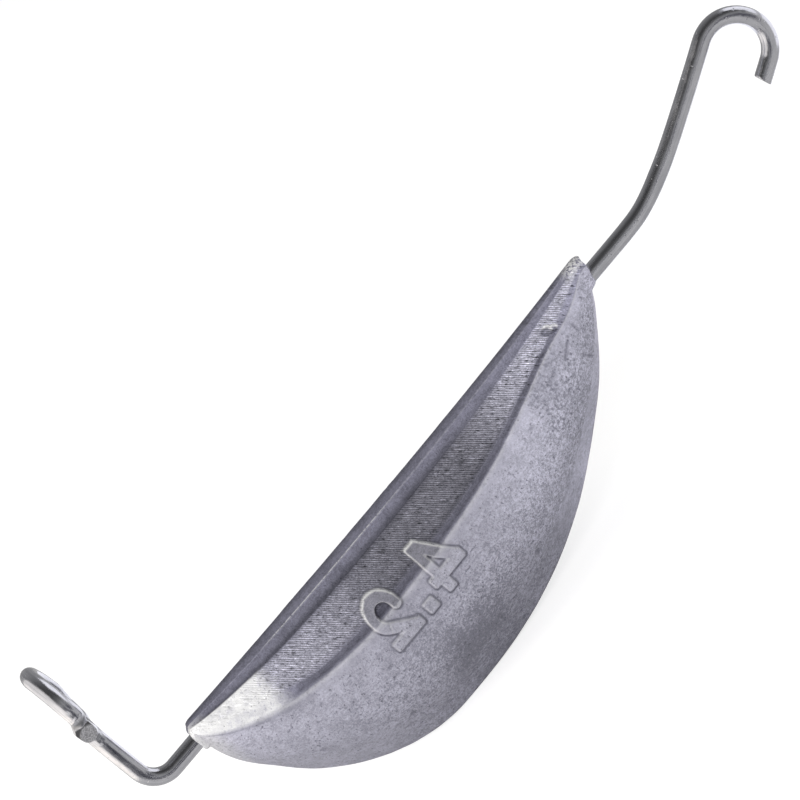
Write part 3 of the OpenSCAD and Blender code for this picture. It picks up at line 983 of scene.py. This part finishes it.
def zoneLightAndShade(x, zone):
    # Painted light and shade: how light each zone is made beside the middle of the hull, as the light falls
    # on it
    stretch, hull, keel = zone.stretch, zone.hull, zone.keel
    spineLevel = lead["spineLevel"] - stretch.ramp(1.2, 3.0) * 0.27
    spineLevel = spineLevel + x.ramp(42, 66) * (0.24 + stretch.ramp(1.6, 3.1) * 0.2)
    ledgeLevel = lead["ledgeLevel"] + zone.ends * (1 - lead["ledgeLevel"])
    level = 1 + (zone.deck + zone.raised * (1 - hull) * 0.7) * (levelAlong(x, lead["deckLevel"]) - 1)
    level = level - zone.roof * (lead["roofShade"] - stretch.ramp(0.15, 0.6) * 0.16)
    level = level + zone.spine * (spineLevel - 1) + zone.ledge * (ledgeLevel - 1)
    level = level + (hull - keel) * (levelAlong(x, lead["hullLevel"]) - 1)
    return level + keel * (levelAlong(x, lead["keelLevel"]) - 1)


def rubbedAndHighlitPlaces(made, x, noise, zone):
    # Painted highlights, with some real rubbed wear: the crease, the roof's edge, rims of the figures, both
    # tips and the thin collar
    stretch, fine = zone.stretch, noise.fine
    crease = stretch.ramp(7.7, 8.0) * (1 - stretch.ramp(8.0, 8.4))
    roofEdge = stretch.ramp(0.9, 0.99) * (1 - stretch.ramp(1.0, 1.08))
    roofEdge = roofEdge * x.ramp(13, 17) * (1 - x.ramp(33, 43) * 0.8) * fine.ramp(0.35, 0.5)
    eyeTip = (1 - x.ramp(0.3, 3.2)) * 0.4 * fine.ramp(0.2, 0.5) + (1 - x.ramp(-0.1, 0.3)) * 0.3
    hookTip = x.ramp(73.8, 76.5) * (1 - stretch.ramp(3, 8)) * fine.ramp(0.4, 0.55) * 0.9
    # Painted highlight on the rims, stronger where they face up
    rim = made.attribute("rim") * (0.25 + zone.upward.ramp(-0.5, 0.5) * 0.75) * (1 - zone.hull * 0.72)
    rubbedAndHighlit = (crease * 0.2 + rim * 1.1) * noise.patch.ramp(0.25, 0.5) + roofEdge * 0.6
    return rubbedAndHighlit + eyeTip * (1 - zone.roof) + hookTip + zone.raised * 0.04


def toolLines(made, place, x, noise, zone):
    # Lines of the tool that cut the mould, mirrored on the far side, and light and dark flecks along them
    angle = math.radians(lead["lineAngle"])
    up, down = math.cos(angle), -math.sin(roll)
    direction = (math.sin(angle), math.sin(elevation) * up, math.cos(elevation) * up)
    lengthwise = (math.cos(roll), math.sin(elevation) * down, math.cos(elevation) * down)
    folded = made.combine(x, place.part("Y").apply("ABSOLUTE") * -1, place.part("Z"))
    phase = folded.dot(direction) + (noise.patch - 0.5) * 0.2 + (noise.fine - 0.5) * 0.12
    lines = (phase * (2 * math.pi / lead["lineSpacing"])).apply("SINE")
    streak = made.noise(made.combine(folded.dot(lengthwise) * 0.8, phase * 3.4, 0.0), 1.1, 3, 0.6)
    lines = lines * zone.deck * x.ramp(5, 16) * (1 - x.ramp(73, 76))
    lines = lines * (0.45 + noise.cloud.ramp(0.3, 0.55) * 0.55) * (0.35 + streak.ramp(0.4, 0.6) * 0.65)
    flecked = zone.deck + zone.ledge * x.ramp(50, 60) + zone.roof * x.ramp(58, 68) * 0.5
    flecked = flecked * (0.8 + x.ramp(44, 58) * 0.1) * (1 - zone.bow * 0.6)
    return lines, (streak.ramp(0.56, 0.68) - streak.ramp(0.44, 0.32)) * flecked


def leadFinish():
    made = Finish(bpy.data.materials.new("castLead"))
    place = made.node("ShaderNodeTexCoord", {}, {}, "Object") * 1000
    x = place.part("X") - casting["start"]
    noise = leadNoises(made, place)
    zone = leadZones(made, x, noise.patch)
    colour = stainedAndShadedSkin(made, x, noise, zone) * zoneLightAndShade(x, zone)
    colour = made.blend((zone.roof + zone.spine + zone.ledge).atMost(1.0), colour, colour * lead["shade"])
    rubbedAndHighlit = rubbedAndHighlitPlaces(made, x, noise, zone)
    colour = made.blend(rubbedAndHighlit.atMost(1.0), colour, lead["bright"])
    # Painted highlight on the bow, towards the eye end
    bright = 0.67 - x.ramp(6, 11) * 0.12 + noise.cloud.ramp(0.3, 0.6) * 0.26
    bright = zone.bow * (bright - noise.speck.ramp(0.6, 0.68) * 0.3 - noise.patch.ramp(0.5, 0.7) * 0.2)
    colour = made.blend(bright, colour, lead["bright"])
    lines, flecks = toolLines(made, place, x, noise, zone)
    # Faint curving lines on the hull
    swirl = (made.noise(place + (2, 2, 2), 0.22, 2) * 26 + place.part("Z") * 14).apply("SINE")
    swirl = swirl * zone.hull * zone.skin * made.noise(place + (6, 3, 1), 0.35, 2).ramp(0.5, 0.62)
    colour = colour * (1 + lines * lead["lineContrast"] + flecks + swirl * 0.06)

    metallic = lead["metallic"] - bright * 0.2
    roughness = lead["roughness"] + (noise.cloud - 0.5) * 0.2 + (noise.grain - 0.5) * 0.2
    roughness = roughness + noise.stains * 0.15 - rubbedAndHighlit * 0.16
    relief = (noise.fine * 0.1 + noise.grain * 0.07) * zone.skin - (noise.pitted + noise.dots) * 0.14
    bumps = [
        (noise.cloud * 0.16 + noise.patch * 0.1 * zone.skin, 0.5),
        (relief - noise.scratch.ramp(0.62, 0.72) * 0.03, 0.8),
        (lines * lead["lineDepth"] + swirl * 0.004, 0.9),
    ]
    return made.surface({"Base Color": colour, "Metallic": metallic, "Roughness": roughness}, bumps)


steel = {
    "light": (0.755, 0.755, 0.80),
    "dark": (0.545, 0.55, 0.59),
    "faceLight": (0.84, 0.84, 0.87),
    "faceDark": (0.42, 0.42, 0.45),
    "nippedCutAndShade": (0.2, 0.2, 0.21),  # painted shade in the groove and round the end face, on the dull nipped cut
    "metallic": 1.0,
    "roughness": 0.19,
    "cutRoughness": 0.45,
}


def steelFinish():
    made = Finish(bpy.data.materials.new("drawnSteel"))
    straight = made.attribute("straightened", "Vector")
    cutFace = made.attribute("cutFace")
    drawn = made.noise(straight * (0.1, 5, 5), 1, 4, 0.6)
    smear = made.noise(straight * (0.35, 0.8, 0.8), 0.9, 3, 0.6)
    grain = made.noise(straight, 5, 3, 0.6)
    nick = made.cells(straight * (1.4, 0.8, 0.8), 0.8).ramp(0.14, 0.05)
    tone = drawn.ramp(0.3, 0.7) * 0.45 + smear.ramp(0.3, 0.7) * 0.35 + (grain - 0.5) * 0.3 + 0.1
    colour = made.blend(tone.ramp(0, 1), steel["dark"], steel["light"])
    crumb = made.noise(straight + (3, 3, 3), 4.6, 3, 0.75).ramp(0.38, 0.64)
    face = made.blend(crumb, steel["faceDark"], steel["faceLight"])
    # The groove and the flat round the end face take painted shade
    colour = made.blend(cutFace, colour, made.blend(made.attribute("endFace"), steel["nippedCutAndShade"], face))
    roughness = steel["roughness"] + smear.ramp(0.4, 0.8) * 0.08 + drawn.ramp(0.4, 0.7) * 0.05
    roughness = roughness + cutFace * steel["cutRoughness"] + nick * 0.2
    bumps = [
        (drawn * 0.015 + smear * 0.04, 0.4),
        (grain * (0.012 + cutFace * 0.05) - nick * 0.05, 0.6),
    ]
    return made.surface({"Base Color": colour, "Metallic": steel["metallic"], "Roughness": roughness}, bumps)


leadCasting.data.materials.append(leadFinish())
sinkerWire.data.materials.append(steelFinish())
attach(leadCasting, "root")
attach(sinkerWire, "root")
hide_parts("lead_body")
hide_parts("through_wire")
print("materials done")


# Floor, what the metal mirrors, and lamps, with sizes in metres apart from the cards
studio = {
    "floorHalf": 3,
    "floorColour": (0.54, 0.54, 0.54),
    "floorFleck": (0.86, 0.86, 0.86),
    "floorGlow": 0.62,
    "worldSoft": 0.5,
    "lamps": {
        "key": {"place": (-0.15, -0.9, 0.3), "size": 0.5, "power": 9, "colour": (1, 0.99, 0.98)},
        "side": {"place": (-0.8, -0.1, 0.3), "size": 0.4, "power": 4, "colour": (1, 0.97, 0.93)},
    },
    "hood": {"radius": 0.6, "reach": 1.8, "steps": 36},
    # How bright the hood is, by share of the way from the front over the top to the back
    "hoodStops": ((0, 0.42), (0.1, 0.3), (0.167, 0.16), (0.23, 0.09), (0.3, 0.06), (0.36, 0.06),
                  (0.43, 0.085), (0.51, 0.13), (0.6, 0.2), (0.69, 0.25), (0.81, 0.28), (0.9, 0.3), (1, 0.32)),
    # Cards seen in reflections: two corners in mm from the floor up, and brightness
    "cards": {
        "paleFloorCard": ((-320, -62, 0), (-64, 120, 0), (1.5, 1.41, 1.29)),
        "darkFloorCard": ((-66, -125, 0), (56, -60, 0), (0.03, 0.03, 0.045)),
        "farPaleCard": ((-200, -260, 0), (-14, -134, 0), (1.1, 1.08, 1.06)),
        "greyFloorCard": ((-5, -420, 0), (88, -130, 0), (0.1, 0.1, 0.12)),
        "farDarkCard": ((116, -420, 0), (420, -112, 0), (0.08, 0.08, 0.1)),
        "lowDarkCard": ((180, -420, 0), (520, -420, 70), (0.08, 0.08, 0.1)),
        "lowGreyCard": ((-330, -420, 0), (60, -420, 80), (0.06, 0.06, 0.08)),
        "backFloorCard": ((14, 16, 0), (142, 120, 0), (1.2, 1.2, 1.25)),
        "besideFloorCard": ((142, -14, 0), (260, 120, 0), (1.2, 1.2, 1.25)),
        "eyeSideCard": ((-160, -260, 0), (-160, 260, 110), (1.25, 1.2, 1.13)),
        "eyeSideUpperCard": ((-160, -260, 110), (-160, 260, 420), (0.95, 0.92, 0.88)),
        "hookSideCard": ((520, -100, 0), (520, 400, 480), (1.15, 1.15, 1.2)),
    },
    "cardLift": 0.0004,
}
floorHeight = cadBox[0][2]


def makeSheet(name, points, faces, material):
    mesh = bpy.data.meshes.new(name)
    mesh.from_pydata(points, [], faces)
    mesh.materials.append(material)
    return addObject(name, mesh)


def makeFloor():
    # The camera sees the floor glow, the object's shadow stays on it
    made = Finish(bpy.data.materials.new("paleFloor"))
    camera = made.node("ShaderNodeLightPath", {}, {}, "Is Camera Ray")
    paper = made.noise(made.node("ShaderNodeTexCoord", {}, {}, "Object"), 300, 2)
    colour = made.blend(paper.ramp(0.2, 0.8) * 0.02, studio["floorColour"], studio["floorFleck"])
    matte = made.node("ShaderNodeBsdfDiffuse", {}, {"Color": colour})
    glow = made.node("ShaderNodeEmission", {}, {"Color": (1, 1, 1), "Strength": studio["floorGlow"]})
    lit = made.node("ShaderNodeAddShader", {}, {0: matte, 1: glow})
    material = made.close(made.node("ShaderNodeMixShader", {}, {0: camera, 1: matte, 2: lit}))
    half, low = studio["floorHalf"], floorHeight
    corners = [(-half, -half, low), (half, -half, low), (half, half, low), (-half, half, low)]
    makeSheet("floor", corners, [(0, 1, 2, 3)], material)


def onlyInReflections(card):
    for kind in ("camera", "diffuse", "transmission", "volume_scatter", "shadow"):
        setattr(card, "visible_" + kind, False)


def makeHood():
    # A hood over the part: pale in front, dark above, paler again at the back
    hood, stops = studio["hood"], studio["hoodStops"]
    angles = np.linspace(0, math.pi, hood["steps"] + 1)
    radius, count = hood["radius"], len(angles)
    points = [(end, -radius * math.cos(angle), floorHeight + radius * math.sin(angle))
              for end in (-hood["reach"], hood["reach"]) for angle in angles]
    faces = [(index, index + 1, count + index + 1, count + index) for index in range(count - 1)]
    made = Finish(bpy.data.materials.new("hoodCloth"))
    over = made.attribute("over")
    level = 0 * over + stops[0][1]
    for (start, before), (end, after) in zip(stops, stops[1:]):
        level = level + over.ramp(start, end) * (after - before)
    cloth = made.close(made.node("ShaderNodeEmission", {}, {"Color": level, "Strength": 1.0}))
    hoodPiece = makeSheet("hood", points, faces, cloth)
    shares = np.tile(angles / math.pi, 2).astype(np.float32)
    hoodPiece.data.attributes.new("over", "FLOAT", "POINT").data.foreach_set("value", shares)
    onlyInReflections(hoodPiece)


def makeCards():
    base = Vector((0, 0, floorHeight + studio["cardLift"]))
    for name, (low, high, colour) in studio["cards"].items():
        low, high = Vector(low), Vector(high)
        if low.x == high.x:
            corners = [low, (low.x, high.y, low.z), high, (low.x, low.y, high.z)]
        else:
            corners = [low, (high.x, low.y, low.z), high, (low.x, high.y, high.z)]
        made = Finish(bpy.data.materials.new(name))
        glow = made.close(made.node("ShaderNodeEmission", {}, {"Color": colour, "Strength": 1.0}))
        points = [Vector(corner) * millimetre + base for corner in corners]
        onlyInReflections(makeSheet(name, points, [(0, 1, 2, 3)], glow))


def makeWorld():
    # Camera, glossy and transmission rays see white, the rest see a softer white
    made = Finish(bpy.data.worlds.new("studio"), "ShaderNodeOutputWorld")
    seen = made.node("ShaderNodeLightPath", {}, {}, "Is Camera Ray")
    for title in ("Is Glossy Ray", "Is Transmission Ray"):
        seen = seen.apply("MAXIMUM", made.node("ShaderNodeLightPath", {}, {}, title))
    level = made.node("ShaderNodeMapRange", {}, {"Value": seen, "To Min": studio["worldSoft"], "To Max": 1})
    background = made.node("ShaderNodeBackground", {}, {"Color": (1, 1, 1), "Strength": level})
    bpy.context.scene.world = made.close(background)


def makeLamps():
    target = Vector(view["centre"]) * millimetre
    for name, lamp in studio["lamps"].items():
        data = bpy.data.lights.new(name, "AREA")
        data.shape = "SQUARE"
        data.size = lamp["size"]
        data.energy = lamp["power"]
        data.color = lamp["colour"]
        holder = addObject(name, data)
        holder.location = lamp["place"]
        holder.visible_glossy = False
        holder.rotation_euler = (target - Vector(lamp["place"])).to_track_quat("-Z", "Y").to_euler()


makeCamera()
makeFloor()
makeHood()
makeCards()
makeWorld()
makeLamps()
bpy.context.scene.view_settings.view_transform = "Standard"
print("studio done")
